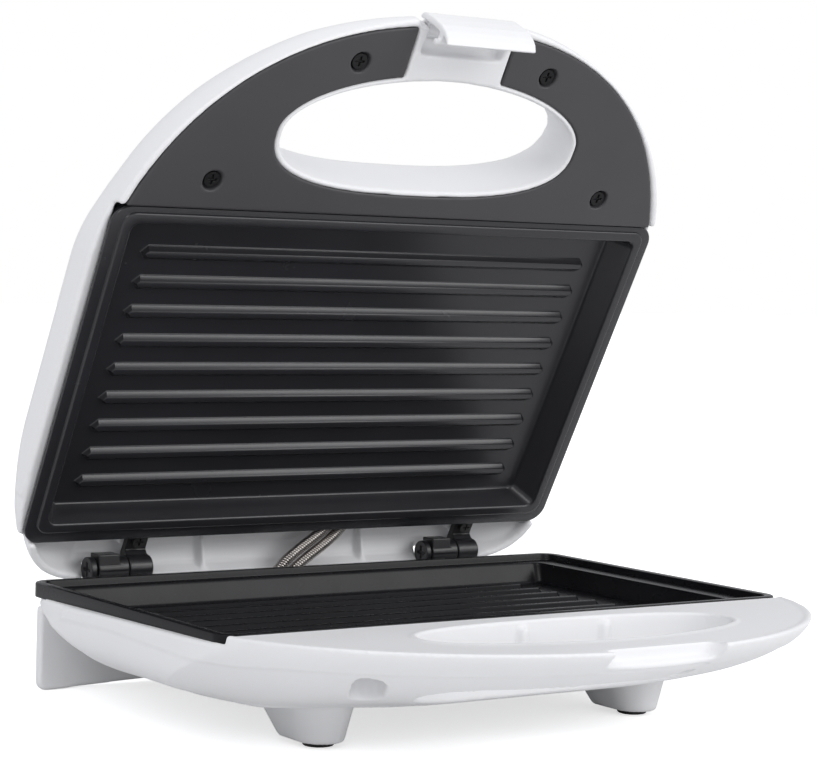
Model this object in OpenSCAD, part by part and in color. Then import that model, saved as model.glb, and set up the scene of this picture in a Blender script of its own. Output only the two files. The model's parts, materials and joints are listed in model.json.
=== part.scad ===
// Two-slice sandwich toaster: hinged clam shell, two ribbed non-stick plates, front carry handle with snap latch.
// Millimetres, +Z up, front handle towards -Y. z = 0 is the table the feet stand on.

/* [Overall] */
// Width of the raised cooking rim of each plate
plate_w = 225; // [215:1:232]
// Depth of the raised cooking rim of each plate
plate_d = 131.2; // [128:0.2:133]
// Height of the lower plate's rim above the table
rim_z = 42.3; // [42:0.1:50]
// Angle the lid stands open
lid_open = 61; // [0:1:105]
// Gap between the two plate rims when the lid is shut
shut_gap = 1.0; // [0.8:0.1:2]
// Offset that centres the whole object on the Y axis
frame_y = 90.7; // [88:0.1:95]

/* [Shells] */
// Half width of the shells at their widest
shell_a = 119.5; // [118:0.5:124]
// Reach of the rounded front from the widest line
shell_bf = 101.4; // [101:0.1:103]
// Reach of the square back from the widest line
shell_br = 135.4; // [135:0.1:137]
// Wall thickness of both shells
wall = 2.5; // [2:0.1:3]
// Depth of the base shell under the plate rim
base_deep = 28.5; // [27:0.5:29]
// Height of the lid shell over its plate rim
lid_high = 26.5; // [26:0.5:30]
// Distance from plate rim to the ledge beside it
ledge = 3.7; // [3:0.1:4.5]
// Half width of the rear stand wall
stand_w = 106; // [90:1:107]
// Thickness of the rear stand wall
stand_t = 4.4; // [3:0.1:4.6]

/* [Plates] */
// Depth of the cooking basin under its rim
basin = 10.5; // [8:0.5:11]
// Thickness of the plate casting
plate_t = 2.4; // [2:0.1:2.6]
// Width of the plate's skirt outside the raised rim
lip_w = 2; // [1.5:0.1:2.2]
// Reach of the lip outside the raised rim at the sides
lip_x = 4; // [3:0.1:4.2]
// Reach of the lip outside the raised rim at the back
lip_back = 4.5; // [3:0.1:4.7]
// Depth of the seat inside the lower plate's rim wall
recess = 2.6; // [1.5:0.1:3]
// Number of toasting ribs on each plate
rib_count = 9; // [5:1:10]
// Spacing of the toasting ribs
rib_pitch = 11.8; // [10:0.1:12]
// Height of a toasting rib
rib_h = 2; // [1:0.1:3]

/* [Handles] */
// Half width of the hand holes
hole_a = 62; // [55:1:63]
// Half width of the white block between the two panel ends
block_w = 20.6; // [20.4:0.1:22]

/* [Hinge and latch] */
// Radius of the hinge pins
pin_r = 2; // [1.6:0.1:2.2]
// Radial running clearance of every pin in its bore
run_fit = 0.05; // [0.02:0.01:0.1]
// Radius of the hinge barrels
barrel_r = 4.6; // [4:0.1:4.8]
// Radius of the cord inlet's bore
cord_r = 3.6; // [3:0.1:4.5]
// Radius of the foot pads
pad_r = 5.3; // [4.5:0.1:6]
// Radius of the spring-wound wire conduits
conduit_r = 2.15; // [1.8:0.05:2.2]
// Radius of the latch pin
latch_pin_r = 1.2; // [1:0.1:1.4]
// Half width of the latch clip
clip_w = 18.8; // [17.6:0.1:19.4]

/* [Hidden] */

mid_y = -110;                        // widest line of the outline
hinge_y = 16.7;                      // hinge axis behind the plate's back rim
hinge_z = 0.92;                      // hinge axis over the lower rim
hinge_x = [-72, 76.5];               // plane between the two leaves of each hinge
latch_y = -205.5;                    // latch pivot
latch_z = 4.8;
bar_y = -206.4;                      // hook bar of the latch
bar_z = -9.3;
bar_r = 1.1;
plate_c = -plate_d / 2;              // plate centre line
lip_d = 1;                           // lip sits this much under the upper plate's rim
lip_t = 2.5;                         // underside of the lip under the rim
skirt = 6;                           // plate edge under the rim
panel_t = 2.2;                       // thickness of panel and deck
panel_y = -plate_d - lip_w - 0.4;    // back edge of panel and deck
panel_a = 118.8;                     // outline of the panel's arc
panel_b = 120.2;
arc_y = -87.6;
screw_xy = [[-40, -192.3], [40, -192.3], [-83.3, -144.7], [83.3, -144.7]];
post_xy = [[-80, -30], [80, -30], [-80, -100.5], [80, -100.5]];
deck_xy = [[19, -192.5], [-83, -165], [83, -165]];
foot_xy = [[-66.5, -111], [66.5, -111]];
elem_z = basin + plate_t + 3.3;      // element centre under the rim
elem_r = 3.2;
refl_z = elem_z + elem_r + 0.6;      // reflector face under the rim
refl_t = 0.6;
fuse_r = 1.9;
inlet_x = 61;                        // cord inlet in the stand wall
inlet_z = -17.4;
inlet_r = 5.5;
block_z = -0.826 * (base_deep - wall);  // terminal block stands on the shell's floor
leaf_y = 9.6;                        // bracket screws, clear of the base's back wall
wall_y = 7;                          // rear face of that wall
shelf_z = -11.8;                     // top of the shelf behind the lower plate
stand_y = 20;                        // rear face of the stand wall
back_y = stand_y - stand_t;          // rear end of the base shell
pocket_r = 5.2;                      // screw pockets in the underside
lens_xy = [[-12, -138.2], [12, -138.2]];
wire_left = [[-27, -2, -15.4], [-24, 1.5, -15.2], [-20.5, 5.5, -13.6], [-17, 8.6, -10.8], [-13.4, 10.6, -7],
             [-9.4, 11.7, -2.9], [-5, 12.5, 1], [0, 13.2, 4.2], [5, 14, 7], [9.6, 14.8, 9.5], [14, 16, 12],
             [17.8, 17.6, 14.2], [21, 19.5, 16], [23.2, 21.2, 16.9], [25, 23, 17.5]];
wire_right = [[-21.3, -1.7, -16.8], [-18.4, 1.8, -16.2], [-15, 5.6, -14.8], [-11.8, 8.8, -12.6], [-8.7, 10.9, -9.7],
              [-5, 12, -5.8], [-0.5, 12.8, -2], [4.5, 13.5, 1.2], [9.5, 14.3, 4], [14.1, 15.1, 6.5], [18.5, 16.3, 9],
              [22.3, 17.9, 11.2], [25.5, 19.8, 13], [27.7, 21.5, 13.9], [29.5, 23.3, 14.5]];
white = [0.93, 0.93, 0.94];
dark = [0.07, 0.07, 0.075];
steel = [0.7, 0.7, 0.72];

function se(t, a, b, n) = [a * sign(sin(t)) * pow(abs(sin(t)), 2 / n), b * sign(cos(t)) * pow(abs(cos(t)), 2 / n)];
// Outline of both shells, brought in by d; n squares the rear corners.
function outline(d, n = 9) = concat(
    [for (i = [0:40]) let (p = se(-90 + i * 4.5, shell_a - d, shell_bf - d, 2)) [p[0], mid_y - p[1]]],
    [for (i = [1:31]) let (p = se(90 + i * 5.625, shell_a - d, shell_br - d, n)) [p[0], mid_y - p[1]]]);
// How far the outline reaches in direction f, counted from straight ahead.
function reach(f, n) = let (b = abs(f) > 90 ? shell_br : shell_bf, q = abs(f) > 90 ? n / (n - 1) : 2)
    pow(pow(shell_a * abs(sin(f)), q) + pow(b * abs(cos(f)), q), 1 / q);
// Outline of the lid panel's arc, brought in by d.
function arc_line(d) = [for (i = [0:44]) let (p = se(-88 + i * 4, panel_a - d, panel_b - d, 2.3)) [p[0], arc_y - p[1]]];
// Outline of a hand hole, grown by d.
function hole_line(d) = concat(
    [for (i = [0:24]) let (p = se(-90 + i * 7.5, hole_a + d, 23 + d, 1.9)) [p[0], -164.5 - p[1]]],
    [for (i = [1:23]) let (p = se(90 + i * 7.5, hole_a + d, 20.2 + d, 2.7)) [p[0], -164.5 - p[1]]]);
module frame() { translate([0, frame_y, rim_z]) children(); }
module at_lid() {
    frame() translate([0, hinge_y, hinge_z]) rotate([-lid_open, 0, 0]) translate([0, -hinge_y, shut_gap - hinge_z]) children();
}
module across(w) { rotate([90, 0, 90]) translate([0, 0, -w]) linear_extrude(2 * w) children(); }
module box(a, b) { translate(a) cube(b - a); }
module round_rect(w, d, r) {
    translate([-w / 2 + r, -d / 2]) square([w - 2 * r, d]);
    translate([-w / 2, -d / 2 + r]) square([w, d - 2 * r]);
    for (x = [-1, 1], y = [-1, 1]) translate([x * (w / 2 - r), y * (d / 2 - r)]) circle(r, $fn = 48);
}
// Cylinder along X.
module xcyl(x0, x1, y, z, r) { translate([x0, y, z]) rotate([0, 90, 0]) cylinder(r = r, h = x1 - x0, $fn = 48); }
// Bulging solid over the outline, brought in by d. Each of dirs is [direction, length of the curved fall-off, its power].
module clam(dirs, h, d, n) {
    intersection() {
        translate([0, 0, -1]) linear_extrude(60) polygon(outline(d, n));
        intersection_for(k = dirs) translate([0, mid_y, 0]) rotate([90, 0, k[0] - 90]) translate([0, 0, -200]) linear_extrude(400)
            polygon(concat([[-300, -2], [-300, h - d]],
                [for (i = [0:16]) let (p = se(i * 90 / 16, k[1] - d, h - d, k[2])) [reach(k[0], n) - k[1] + p[0], p[1]]],
                [[reach(k[0], n) - d, -2]]));
    }
}
// Fall-off from straight ahead round to the side in steps of 22.5 degrees, then the rear corner and the rear.
lid_fall = [[151, 2], [158, 3.6], [117, 3.8], [134, 4], [119, 7]];
lid_rear = [[50, 1.35], [85.8, 2.2]];
base_fall = [[101, 1.57], [80, 1.5], [52, 1.5], [40, 1.7], [119, 5.3]];
base_rear = [[70, 1.7], [100.4, 2.5]];
// Every direction, with one more between each two of the front.
function dirs(fall, rear) = concat(
    [for (s = [-1, 1], i = [0:7]) let (j = floor(i / 2), f = (fall[j] + fall[ceil(i / 2)]) / 2) [s * i * 11.25, f[0], f[1]]],
    [for (s = [-1, 1]) [s * 90, fall[4][0], fall[4][1]]],
    [for (s = [-1, 1]) [s * 135, rear[0][0], rear[0][1]]], [[180, rear[1][0], rear[1][1]]]);
module lid_solid(d) { clam(dirs(lid_fall, lid_rear), lid_high, d, 9); }
module base_solid(d) { mirror([0, 0, 1]) clam(dirs(base_fall, base_rear), base_deep, d, 6.7); }

// Screw along Z with a cross recess; head from z = 0 to h, shank up or down from it by len.
module screw(r, h, sr, len, up) {
    difference() {
        cylinder(r = r, h = h, $fn = 40);
        for (a = [0, 90]) rotate([0, 0, a]) translate([-r * 0.6, -r * 0.13, up > 0 ? -0.1 : h * 0.45]) cube([r * 1.2, r * 0.26, h * 0.55 + 0.1]);
    }
    translate([0, 0, up > 0 ? h : -len]) cylinder(r = sr, h = len, $fn = 32);
}
// Round tube swept along a list of points, n sides, with flat ends.
module tube(pts, r, n = 12) {
    function along(i) = let (v = pts[min(i + 1, len(pts) - 1)] - pts[max(i - 1, 0)]) v / norm(v);
    function side(t) = let (c = cross(t, [0, 1, 0])) c / norm(c);
    m = len(pts);
    polyhedron(points = [for (i = [0:m - 1]) let (t = along(i), u = side(t), v = cross(t, u))
                   for (k = [0:n - 1]) pts[i] + r * (cos(360 * k / n) * u + sin(360 * k / n) * v)],
               faces = concat([[for (k = [0:n - 1]) k]], [[for (k = [n - 1:-1:0]) (m - 1) * n + k]],
                   [for (i = [0:m - 2], k = [0:n - 1]) let (j = (k + 1) % n, a = i * n + k, b = i * n + j)
                       for (f = [[a, a + n, b], [b, a + n, b + n]]) f]));
}
// One cooking plate, rim at z = 0, basin downwards. The lower one has a rim wall round a seat for the upper one's rim.
module plate(lower) {
    floor_z = -basin - plate_t;
    web = lower ? recess + 1.6 : 2.6;
    rib_a = lower ? 86 : 97.5;
    difference() {
        union() {
            difference() {
                union() {
                    translate([0, plate_c, -skirt]) linear_extrude(skirt - lip_d)
                        round_rect(plate_w + 2 * lip_w, plate_d + 2 * lip_w, 6.5);
                    if (!lower) translate([0, plate_c, -skirt]) linear_extrude(skirt) round_rect(plate_w, plate_d, 5);
                    translate([0, plate_c + (lip_back - lip_w) / 2, -lip_t]) linear_extrude(lip_t - (lower ? 0 : lip_d))
                        round_rect(plate_w + 2 * lip_x, plate_d + lip_w + lip_back, 7);
                }
                translate([0, plate_c, -skirt - 1]) linear_extrude(skirt + 1 - web)
                    round_rect(plate_w + 2 * lip_w - 4.4, plate_d + 2 * lip_w - 4.4, 4.5);
            }
            hull() {
                translate([0, plate_c, -3]) linear_extrude(0.5) round_rect(plate_w - 4.4, plate_d - 4.4, 8);
                translate([0, plate_c, floor_z]) linear_extrude(0.5) round_rect(plate_w - 12.4, plate_d - 7.4, 7);
            }
            for (p = post_xy) translate([p[0], p[1], -refl_z]) cylinder(r = 4, h = refl_z + floor_z + 1, $fn = 40);
        }
        if (lower) translate([0, plate_c + 1.1, -recess]) linear_extrude(recess + 1) round_rect(plate_w + 1, plate_d + 0.6, 4.5);
        hull() {
            translate([0, plate_c, lower ? -recess : 0]) linear_extrude(0.5)
                round_rect(plate_w - (lower ? 15.6 : 8), plate_d - (lower ? 7 : 8), 3.5);
            translate([0, plate_c, -basin]) linear_extrude(0.5) round_rect(plate_w - 17, plate_d - 12, 3);
        }
        for (p = post_xy) translate([p[0], p[1], -refl_z - 1]) cylinder(r = 1.5, h = refl_z + floor_z + 2, $fn = 32);
    }
    for (i = [0:rib_count - 1]) translate([0, plate_c + (i - (rib_count - 1) / 2) * rib_pitch, -basin - 0.01]) intersection() {
        across(rib_a) polygon([[-2.4, 0], [-0.9, rib_h], [0.9, rib_h], [2.4, 0]]);
        rotate([90, 0, 0]) translate([0, 0, -3]) linear_extrude(6)
            polygon([[-rib_a, 0], [2 - rib_a, rib_h], [rib_a - 2, rib_h], [rib_a, 0]]);
        linear_extrude(rib_h)
            polygon([[-rib_a, 0], [3.5 - rib_a, 2.4], [rib_a - 3.5, 2.4], [rib_a, 0], [rib_a - 3.5, -2.4], [3.5 - rib_a, -2.4]]);
    }
}
// Tubular element bent to a U, with two bare ends.
module element() {
    y0 = plate_c + 26; y1 = plate_c - 26; x1 = 76;
    for (y = [y0, y1]) {
        xcyl(-84, x1, y, -elem_z, elem_r);
        xcyl(-93, -84, y, -elem_z, 1.4);
    }
    for (s = [-1, 1]) translate([x1, plate_c + s * 14, -elem_z]) rotate([0, 0, s > 0 ? 0 : -90])
        rotate_extrude(angle = 90, $fn = 64) translate([12, 0]) circle(elem_r, $fn = 40);
    translate([x1 + 12, plate_c + 14, -elem_z]) rotate([90, 0, 0]) cylinder(r = elem_r, h = 28, $fn = 48);
}
module clips() {
    for (x = [-50, 40], s = [-1, 1]) difference() {
        translate([x - 4, plate_c + s * 26 - 6, -refl_z + 0.2]) cube([8, 12, refl_z - 0.2 - basin - plate_t]);
        xcyl(x - 5, x + 5, plate_c + s * 26, -elem_z, elem_r);
        translate([x - 5, plate_c + s * 26 - elem_r, -elem_z]) cube([10, 2 * elem_r, 5]);
    }
}
module reflector() {
    difference() {
        box([-92, -115, -refl_z - refl_t], [92, -24, -refl_z + 3]);
        box([-91.4, -114.4, -refl_z], [91.4, -24.6, -refl_z + 4]);
        for (p = post_xy) translate([p[0], p[1], -refl_z - 2]) cylinder(r = 1.8, h = 3, $fn = 32);
    }
}
// Front panel blank: everything ahead of the plate inside a line, w thick, with the hand hole open.
module front_plate(pts, grow, w) {
    linear_extrude(w) difference() {
        intersection() { polygon(pts); translate([-150, -300]) square([300, 300 + panel_y]); }
        polygon(hole_line(grow));
    }
}
module latch_cut() {
    translate([0, 0, -40]) linear_extrude(50) polygon([[-22.4, -230], [-22.4, -204.9], [22.4, -204.9], [22.4, -230]]);
    translate([0, 0, -4.8]) linear_extrude(20) polygon([[-27, -230], [-21, -203], [21, -203], [27, -230]]);
    box([-22.4, -230, -11.6], [22.4, -200, -6.8]);
}

module base_shell() color(white) frame() {
    difference() {
        intersection() {
            base_solid(0);
            union() {
                difference() {
                    box([-140, -240, -60], [140, back_y, 2]);
                    base_solid(wall);
                }
                difference() {
                    box([-140, panel_y, -8], [140, wall_y, 2]);
                    box([-plate_w / 2 - lip_w - 0.4, panel_y - 9, -9], [plate_w / 2 + lip_w + 0.4, lip_w + 0.4, 3]);
                }
                box([-140, wall_y - 2, shelf_z - 2], [140, wall_y, 0]);
                box([-140, wall_y - 2, shelf_z - 2], [140, back_y, shelf_z]);
                box([-26, -215, -15], [26, -196, 0]);
                translate([0, 0, -40]) linear_extrude(40) polygon(hole_line(2));
                translate([deck_xy[0][0], deck_xy[0][1], -40]) cylinder(r = 4.6, h = 34, $fn = 48);
                for (s = [-1, 1]) screw_pocket(s, 2.4);
                for (p = post_xy) translate([p[0], p[1], -40]) cylinder(r = 5.5, h = 40 - refl_z - refl_t, $fn = 48);
                for (h = hinge_x) translate([h - 6.7, leaf_y, -40]) cylinder(r = 3.8, h = 40 + shelf_z - 1, $fn = 40);
            }
        }
        // top edge: deck seat in front, sloping ledges beside the plate, low shelf behind
        box([-140, -240, -panel_t], [140, panel_y, 3]);
        across(140) polygon([[panel_y - 0.01, -ledge + 1], [0, -ledge - 1.2], [wall_y, -ledge - 1.2], [wall_y, shelf_z],
                             [40, shelf_z], [40, 5], [panel_y - 0.01, 5]]);
        box([-plate_w / 2 - lip_w - 0.4, panel_y, -skirt - 0.4], [plate_w / 2 + lip_w + 0.4, lip_w + 0.4, 3]);
        hull() {
            translate([0, plate_c, -skirt]) linear_extrude(3) round_rect(plate_w - 4.4 + 1, plate_d - 4.4 + 1, 8.5);
            translate([0, plate_c, -basin - plate_t - 0.4]) linear_extrude(0.5) round_rect(plate_w - 12.4 + 1, plate_d - 7.4 + 1, 7.5);
        }
        translate([0, 0, -60]) linear_extrude(70) polygon(hole_line(0));
        latch_cut();
        box([46, 3, -18], [76, back_y + 1, shelf_z - 2]);
        box([-32, 3, shelf_z - 2.6], [-6, 14.5, shelf_z + 4.3]);
        for (p = deck_xy) {
            translate([p[0], p[1], -40]) cylinder(r = 1.6, h = 40, $fn = 32);
            translate([p[0], p[1], -panel_t - 4]) cylinder(r = 3.6, h = 5, $fn = 40);
        }
        translate([deck_xy[0][0], deck_xy[0][1], -40]) cylinder(r = 3.6, h = 31.5, $fn = 40);
        for (s = [-1, 1]) screw_pocket(s, 0);
        for (p = post_xy) {
            translate([p[0], p[1], -40]) cylinder(r = 1.6, h = 30, $fn = 32);
            translate([p[0], p[1], -40]) cylinder(r = 3.4, h = 16.4, $fn = 40);
        }
        for (h = hinge_x) translate([h - 6.7, leaf_y, -16]) cylinder(r = 1.4, h = 10, $fn = 32);
    }
    // two small ribs on the back wall of the hand hole
    for (x = [-9.4, 24.9]) intersection() {
        box([x - 1.6, -146.6, -20], [x + 1.6, -143, -panel_t]);
        base_solid(0.5);
    }
}
// Long pocket around a rear deck screw, open below; grown by w it is the pocket's own wall.
module screw_pocket(s, w) {
    a = deck_xy[s < 0 ? 1 : 2];
    d = [-5 * s, 9];
    turn = atan2(d[1], d[0]);
    translate([a[0], a[1], -40]) linear_extrude(31.5 + w) polygon(concat(
        [for (i = [0:10]) let (t = turn + 90 + 18 * i) (pocket_r + w) * [cos(t), sin(t)]],
        [for (i = [0:10]) let (t = turn - 90 + 18 * i) d + (pocket_r + w) * [cos(t), sin(t)]]));
}
module rear_stand() color(white) frame() difference() {
    rotate([90, 0, 0]) translate([0, 0, -stand_y]) linear_extrude(stand_t) difference() {
        union() {
            translate([-stand_w, -rim_z + 3]) square([2 * stand_w, shelf_z + rim_z - 3]);
            translate([-stand_w + 3, -rim_z]) square([2 * stand_w - 6, 4]);
            for (s = [-1, 1]) translate([s * (stand_w - 3), -rim_z + 3]) circle(3, $fn = 40);
        }
        translate([0, -rim_z + 2.5 - 2000]) circle(2000, $fn = 900);
    }
    xcyl_y(inlet_x, inlet_z, back_y - 1, stand_y + 1, inlet_r);
}
module front_feet() color(white) frame() difference() {
    for (f = foot_xy) hull() {
        for (y = [-1, 10]) translate([f[0], f[1] + y, -41 + 0.3]) cylinder(r = 8, h = 1, $fn = 32);
        translate([f[0], f[1] + 1, -25.5]) cylinder(r = 13, h = 1, $fn = 32);
        translate([f[0], f[1] + 21, -25.5]) cylinder(r = 12, h = 1, $fn = 32);
    }
    base_solid(0);
    for (f = foot_xy) translate([f[0], f[1], -42]) cylinder(r = pad_r, h = 42 - rim_z + 2.6, $fn = 48);
}
// Cylinder along Y.
module xcyl_y(x, z, y0, y1, r) { translate([x, y1, z]) rotate([90, 0, 0]) cylinder(r = r, h = y1 - y0, $fn = 48); }
module base_deck() color(white) frame() {
    difference() {
        union() {
            translate([0, 0, -panel_t]) front_plate(outline(0), 0, panel_t);
            for (p = deck_xy) translate([p[0], p[1], -panel_t - 4]) cylinder(r = 3.4, h = 4.5, $fn = 40);
        }
        latch_cut();
        for (p = deck_xy) translate([p[0], p[1], -panel_t - 5]) cylinder(r = 1.4, h = 5.8, $fn = 32);
    }
}
module lower_plate() color(dark) frame() plate(true);
module lower_plate_screws() color(steel) frame()
    for (p = post_xy) translate([p[0], p[1], -25.2]) screw(3, 1.6, 1.45, 9, 1);
module lower_element() color([0.35, 0.34, 0.33]) frame() element();
module lower_reflector() color(steel) frame() reflector();
module lower_clips() color(steel) frame() clips();
module thermostat() color([0.85, 0.83, 0.78]) frame() {
    translate([-15, plate_c, -basin - plate_t - 6]) cylinder(r = 8, h = 6, $fn = 48);
    for (s = [-1, 1]) box([-15 + s * 5 - 1.5, plate_c - 12, -basin - plate_t - 3.4], [-15 + s * 5 + 1.5, plate_c - 7, -basin - plate_t - 2.6]);
}
module thermal_fuse() color([0.8, 0.8, 0.82]) frame() {
    z = -basin - plate_t - fuse_r - 0.05;
    xcyl(24, 36, plate_c, z, fuse_r);
    xcyl(18, 42, plate_c, z, 0.6);
}
module terminal_block() color([0.9, 0.88, 0.8]) frame() difference() {
    translate([53, -20, block_z]) cube([16, 11, 6]);
    for (x = [57, 65]) translate([x, -14.5, block_z + 2.6]) cylinder(r = 1.6, h = 6, $fn = 32);
}
module cord_inlet() color(dark) frame() difference() {
    union() {
        xcyl_y(inlet_x, inlet_z, back_y, stand_y, inlet_r);
        xcyl_y(inlet_x, inlet_z, stand_y, stand_y + 1.6, inlet_r + 1.3);
    }
    xcyl_y(inlet_x, inlet_z, back_y - 1, stand_y + 3, cord_r);
}
module bracket(h) frame() difference() {
    union() {
        xcyl(h - 12.5, h - 0.2, hinge_y, hinge_z, barrel_r);
        box([h - 12.5, hinge_y - 4.2, hinge_z], [h - 4, hinge_y + 3.4, hinge_z + 5.8]);
        box([h - 11.5, hinge_y - 4.4, shelf_z], [h - 1.4, hinge_y - 0.2, hinge_z]);
        box([h - 12.5, wall_y + 0.05, shelf_z], [h - 0.6, hinge_y + 0.6, shelf_z + 2]);
    }
    xcyl(h - 13, h, hinge_y, hinge_z, pin_r + run_fit);
    translate([h - 6.7, leaf_y, shelf_z - 1]) cylinder(r = 1.6, h = 4, $fn = 32);
}
module hinge_bracket_left() color(dark) bracket(hinge_x[0]);
module hinge_bracket_right() color(dark) bracket(hinge_x[1]);
module bracket_screws() color(steel) frame()
    for (h = hinge_x) translate([h - 6.7, leaf_y, shelf_z + 2]) screw(2.5, 1.5, 1.35, 5.6, -1);
module hinge_pins() color(dark) frame() for (h = hinge_x) {
    xcyl(h - 13.4, h + 10.2, hinge_y, hinge_z, pin_r);
    difference() {
        xcyl(h - 15.6, h - 13.4, hinge_y, hinge_z, 4.7);
        for (a = [0, 90]) translate([h - 15.6, hinge_y, hinge_z]) rotate([a, 0, 0]) cube([2, 5.4, 1.1], center = true);
    }
}
module foot_pads() color([0.05, 0.05, 0.05]) frame()
    for (f = foot_xy) translate([f[0], f[1], -rim_z]) cylinder(r = pad_r, h = 2.6, $fn = 48);
module deck_screws() color(steel) frame()
    for (p = deck_xy) translate([p[0], p[1], -10.1]) screw(3.2, 1.6, 1.35, 6.9, 1);
module conduit_left() color(steel) frame() tube(wire_left, conduit_r);
module conduit_right() color(steel) frame() tube(wire_right, conduit_r);

module lid_shell() color(white) at_lid() difference() {
    union() {
        intersection() {
            lid_solid(0);
            union() {
                difference() {
                    box([-140, -240, -0.5], [140, 40, 60]);
                    lid_solid(wall);
                }
                // side ledges
                difference() {
                    box([-140, panel_y, ledge], [140, lip_back + 0.3, 8]);
                    box([-plate_w / 2 - lip_w - 0.4, panel_y - 9, 0], [plate_w / 2 + lip_w + 0.4, 10, 9]);
                }
                // inner skirt round the back
                intersection() {
                    difference() {
                        translate([0, 0, 0]) linear_extrude(13) polygon(outline(2));
                        translate([0, 0, -1]) linear_extrude(15) polygon(outline(4.4));
                    }
                    box([-140, -4, 0], [140, 40, 13]);
                }
                // seat for the panel
                difference() {
                    box([-140, -240, panel_t], [140, panel_y, panel_t + 2]);
                    linear_extrude(10) polygon(arc_line(3));
                }
                linear_extrude(40) polygon(hole_line(2));
                box([-block_w, -212, 0], [block_w, -185, 12]);
                for (p = screw_xy) translate([p[0], p[1], panel_t + 2]) cylinder(r = 4.6, h = 40, $fn = 48);
                for (x = [-58, 0, 58]) translate([x, plate_c, refl_z + refl_t]) cylinder(r = 5, h = 20, $fn = 40);
                for (h = hinge_x) box([h - 1, 3.4, 7.2], [h + 11, 11.6, 40]);
                // stiffening ribs in the back
                for (x = [-36, 36]) across_at(x, 0.9) polygon([[30, 1.5], [21, 1.5], [12, 9], [9, 14], [9, 40], [30, 40]]);
            }
        }
    }
    box([-140, -240, -5], [140, panel_y, 0]);
    box([-140, panel_y - 0.01, -5], [140, lip_back + 0.3, ledge]);
    box([-plate_w / 2 - lip_w - 0.4, panel_y, -5], [plate_w / 2 + lip_w + 0.4, lip_w + 0.4, skirt + 0.4]);
    difference() {
        box([-140, 2.5, -5], [140, 40, 10]);
        translate([0, 0, -6]) linear_extrude(20) polygon(outline(2));
    }
    translate([0, 0, -5]) linear_extrude(60) polygon(hole_line(0));
    translate([0, 0, -5]) linear_extrude(5 + panel_t) intersection() {
        difference() { polygon(arc_line(-0.2)); polygon(hole_line(2)); translate([-block_w, -240]) square([2 * block_w, 60]); }
        translate([-150, -300]) square([300, 300 + panel_y + 1]);
    }
    for (p = screw_xy) translate([p[0], p[1], 0]) cylinder(r = 5.2, h = panel_t + 2, $fn = 48);
    for (p = screw_xy) translate([p[0], p[1], 0]) cylinder(r = 1.45, h = 10, $fn = 32);
    for (h = hinge_x) {
        box([h - 13, 15, -5], [h + 10.8, 40, 9.6]);
        xcyl(h - 16.2, h - 12.9, hinge_y, hinge_z - shut_gap, 5.4);
    }
    for (h = hinge_x) translate([h + 5, 7.5, 0]) cylinder(r = 1.4, h = 13.5, $fn = 32);
    for (p = lens_xy) translate([p[0], p[1], 10]) cylinder(r = 3, h = 20, $fn = 40);
    // latch pocket, clearance ahead of it and the pin's bore
    box([-16.4, -215, -1], [16.4, -201.6, 9.3]);
    box([-21, -230, -2], [21, -207.9, 40]);
    box([-17, -201.7, -1], [17, -197, 4.5]);
    xcyl(-19.6, 19.6, latch_y, latch_z, latch_pin_r);
}
module across_at(x, w) { translate([x, 0, 0]) across(w) children(); }
module lid_panel() color(dark) at_lid() difference() {
    union() {
        difference() {
            front_plate(arc_line(0), 2.05, panel_t);
            translate([-block_w - 0.1, -240, -1]) cube([2 * block_w + 0.2, 60, 9]);
        }
        for (p = screw_xy) translate([p[0], p[1], 0]) cylinder(r = 5, h = panel_t + 2, $fn = 48);
    }
    for (p = screw_xy) translate([p[0], p[1], -1]) cylinder(r = 3.7, h = 3.2, $fn = 40);
    for (p = screw_xy) translate([p[0], p[1], -1]) cylinder(r = 1.6, h = 10, $fn = 32);
}
module upper_plate() color(dark) at_lid() mirror([0, 0, 1]) plate(false);
module upper_plate_screws() color(steel) at_lid()
    for (p = post_xy) translate([p[0], p[1], refl_z + refl_t]) screw(3, 1.4, 1.45, 6.2, -1);
module upper_element() color([0.35, 0.34, 0.33]) at_lid() mirror([0, 0, 1]) element();
module upper_reflector() color(steel) at_lid() mirror([0, 0, 1]) reflector();
module upper_clips() color(steel) at_lid() mirror([0, 0, 1]) clips();
module panel_screws() color([0.12, 0.12, 0.12]) at_lid()
    for (p = screw_xy) translate([p[0], p[1], 0.8]) screw(3.4, 1.4, 1.4, 7.4, 1);
module arm(h) at_lid() difference() {
    hz = hinge_z - shut_gap;
    union() {
        xcyl(h + 0.2, h + 9.8, hinge_y, hz, barrel_r);
        across_at(h + 5, 4.3) polygon([[2.9, 4.2], [2.9, 7.2], [14.5, 7.2], [18, 5.4], [hinge_y + 3, hz + 2.6], [hinge_y, hz],
                                      [hinge_y - 4, hz + 1.5], [11.5, 4.2]]);
    }
    xcyl(h, h + 10, hinge_y, hz, pin_r + run_fit);
    translate([h + 5, 7.5, 0]) cylinder(r = 1.6, h = 10, $fn = 32);
}
module hinge_arm_left() color(dark) arm(hinge_x[0]);
module hinge_arm_right() color(dark) arm(hinge_x[1]);
module arm_screws() color([0.12, 0.12, 0.12]) at_lid() for (h = hinge_x) translate([h + 5, 7.5, 2.7]) screw(2.7, 1.5, 1.35, 8.6, 1);
module lens(i) at_lid() {
    translate([lens_xy[i][0], lens_xy[i][1], 17]) cylinder(r = 3, h = 7.2, $fn = 40);
    translate([lens_xy[i][0], lens_xy[i][1], 16]) cylinder(r = 3, h = 1.2, $fn = 40);
}
module power_lens() color([0.8, 0.1, 0.05]) lens(0);
module ready_lens() color([0.1, 0.6, 0.15]) lens(1);
module lamp_holder() color([0.85, 0.83, 0.78]) at_lid() {
    box([-19, -141.4, 5], [19, -134.6, 8]);
    for (p = lens_xy) translate([p[0], p[1], 8]) cylinder(r = 2.3, h = 8, $fn = 32);
}
module latch_pin() color(steel) at_lid() xcyl(-19.6, 19.6, latch_y, latch_z, latch_pin_r);
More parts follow.
